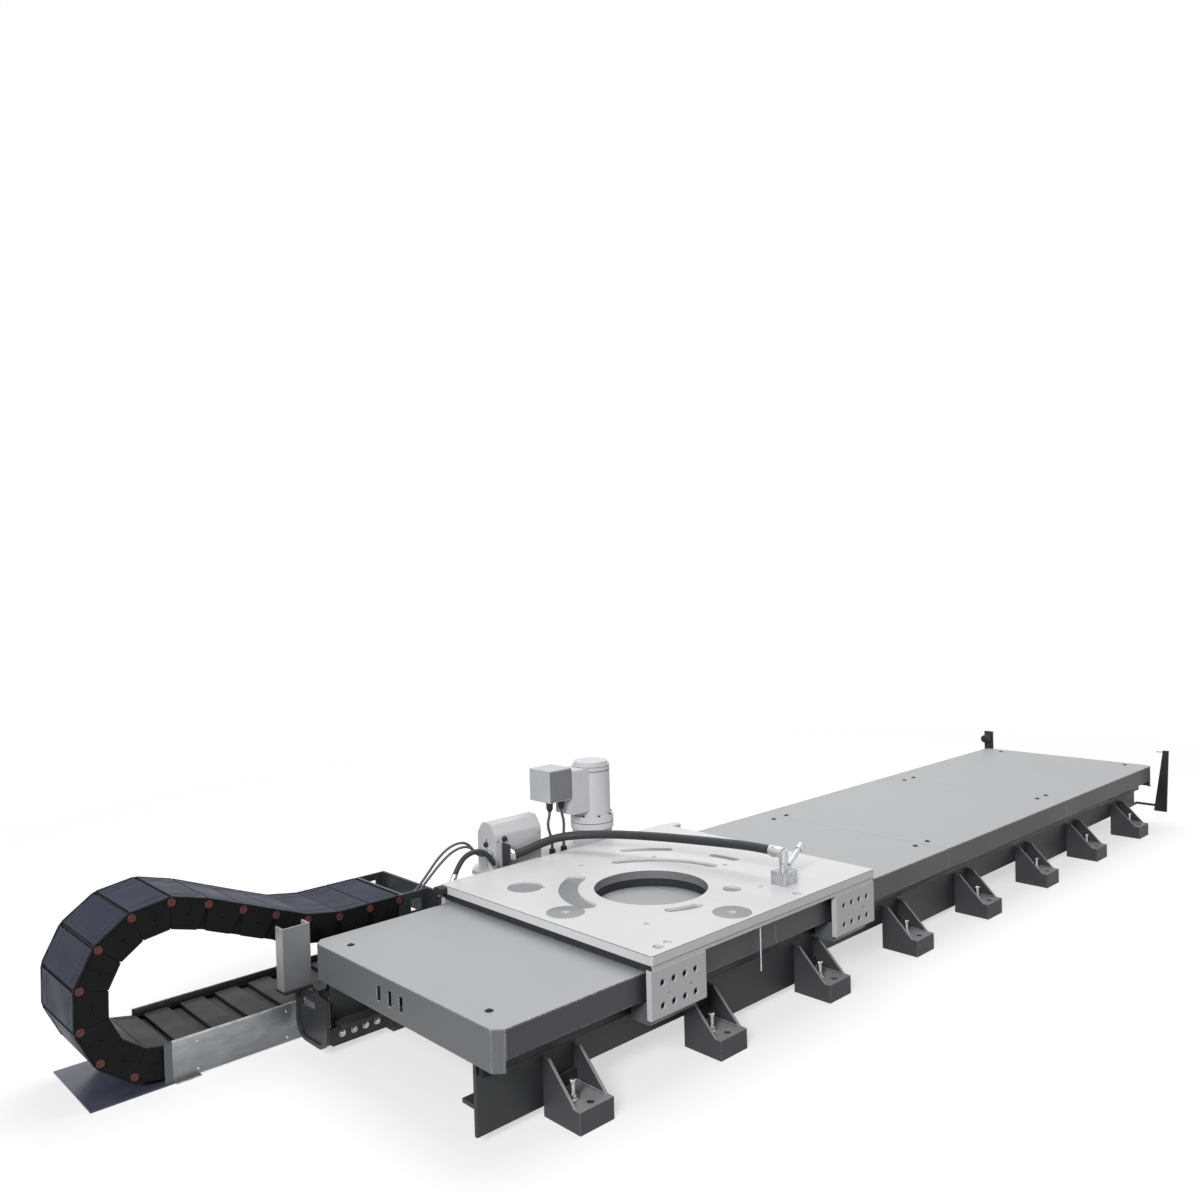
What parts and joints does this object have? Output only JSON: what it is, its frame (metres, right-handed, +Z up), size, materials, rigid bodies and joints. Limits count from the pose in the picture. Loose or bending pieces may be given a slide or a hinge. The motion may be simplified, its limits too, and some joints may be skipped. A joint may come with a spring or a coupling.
{
  "type": "robot linear track",
  "caption": "Floor-bolted linear track: covered bed on twin beams, rack-driven carriage plate with a robot foot pattern, servo drive, and a cable chain in a trough.",
  "frame": {"origin": "on the floor, in the middle of the anchor holes", "axes": "+X along the track towards its far end, +Y towards the cable chain, +Z up"},
  "size_m": [5.655, 1.537, 0.738],
  "materials": {
    "beam_paint": "satin charcoal paint on rolled steel",
    "foot_paint": "satin dark grey paint on cast and welded steel",
    "cover_paint": "smooth light grey powder coat on folded sheet",
    "carriage_paint": "satin off-white paint on machined plate",
    "shoe_paint": "grey painted steel housing",
    "ground_steel": "ground and hardened steel",
    "zinc_screws": "zinc plated",
    "galvanised": "bright galvanised sheet",
    "floor_plate_paint": "black paint",
    "black_paint": "satin black powder coat",
    "post_paint": "light grey paint on folded sheet",
    "rubber": "black moulded rubber",
    "chain_side": "black glass-filled polyamide",
    "chain_lid": "dark blue-grey moulded plastic",
    "chain_pin": "dull red moulded plastic",
    "tow_paint": "dark grey painted steel",
    "motor_paint": "off-white enamel on cast aluminium",
    "housing_plastic": "pale grey moulded plastic",
    "fittings": "machined and anodised",
    "hose": "black rubber hose",
    "cable": "grey cable sheath"
  },
  "bodies": {
    "bed": {"right_side_beam": "beam_paint", "left_side_beam": "beam_paint", "cross_members": "beam_paint", "floor_feet": "foot_paint", "levelling_screws": "zinc_screws", "right_guide_rail": "ground_steel", "left_guide_rail": "ground_steel", "toothed_rack": "ground_steel", "rack_brackets": "foot_paint", "cover_near": "cover_paint", "cover_second": "cover_paint", "cover_third": "cover_paint", "cover_far": "cover_paint", "cover_screws": "zinc_screws", "chain_trough": "galvanised", "trough_straps": "galvanised", "trough_floor_plate": "floor_plate_paint", "near_stop_arm": "black_paint", "stop_arm_bolts": "zinc_screws", "near_stop_post": "post_paint", "far_stop_bracket": "beam_paint", "far_buffer": "rubber", "far_end_post": "black_paint", "far_sensor_pin": "fittings"},
    "carriage": {"carriage_plate": "carriage_paint", "carriage_frame": "carriage_paint", "near_right_bracket": "carriage_paint", "near_left_bracket": "carriage_paint", "near_right_shoe": "shoe_paint", "near_left_shoe": "shoe_paint", "far_right_bracket": "carriage_paint", "far_left_bracket": "carriage_paint", "far_right_shoe": "shoe_paint", "far_left_shoe": "shoe_paint", "bracket_screws": "zinc_screws", "side_shelf": "carriage_paint", "gearbox": "motor_paint", "drive_motor": "motor_paint", "motor_connector_box": "housing_plastic", "junction_box": "housing_plastic", "chain_side_plates": "chain_side", "chain_lids": "chain_lid", "chain_crossbars": "chain_lid", "chain_pins": "chain_pin", "tow_bracket": "tow_paint", "near_buffer": "rubber", "striker": "carriage_paint", "connector_bracket": "tow_paint", "cable_glands": "fittings", "valve_block": "fittings", "valve_fittings": "fittings", "sensor_rod": "fittings", "carriage_hose": "hose", "short_hose": "hose", "signal_cable_a": "cable", "signal_cable_b": "cable", "motor_power_cable": "cable", "motor_signal_cable": "cable"},
    "pinion": {"drive_pinion": "ground_steel", "output_shaft": "ground_steel"}
  },
  "joints": [
    {"name": "carriage_travel", "type": "slide", "parent": "bed", "child": "carriage", "axis": [1, 0, 0], "range_m": [-0.515, 3.04]},
    {"name": "pinion_turn", "type": "hinge", "parent": "carriage", "child": "pinion", "pos_m": [-0.985, 0.65, 0.16], "axis": [0, 0, 1], "range_deg": [-1940, 330]}
  ],
  "couplings": [
    {"joint": "pinion_turn", "follows": "carriage_travel", "rad_per_m": -11.111}
  ]
}
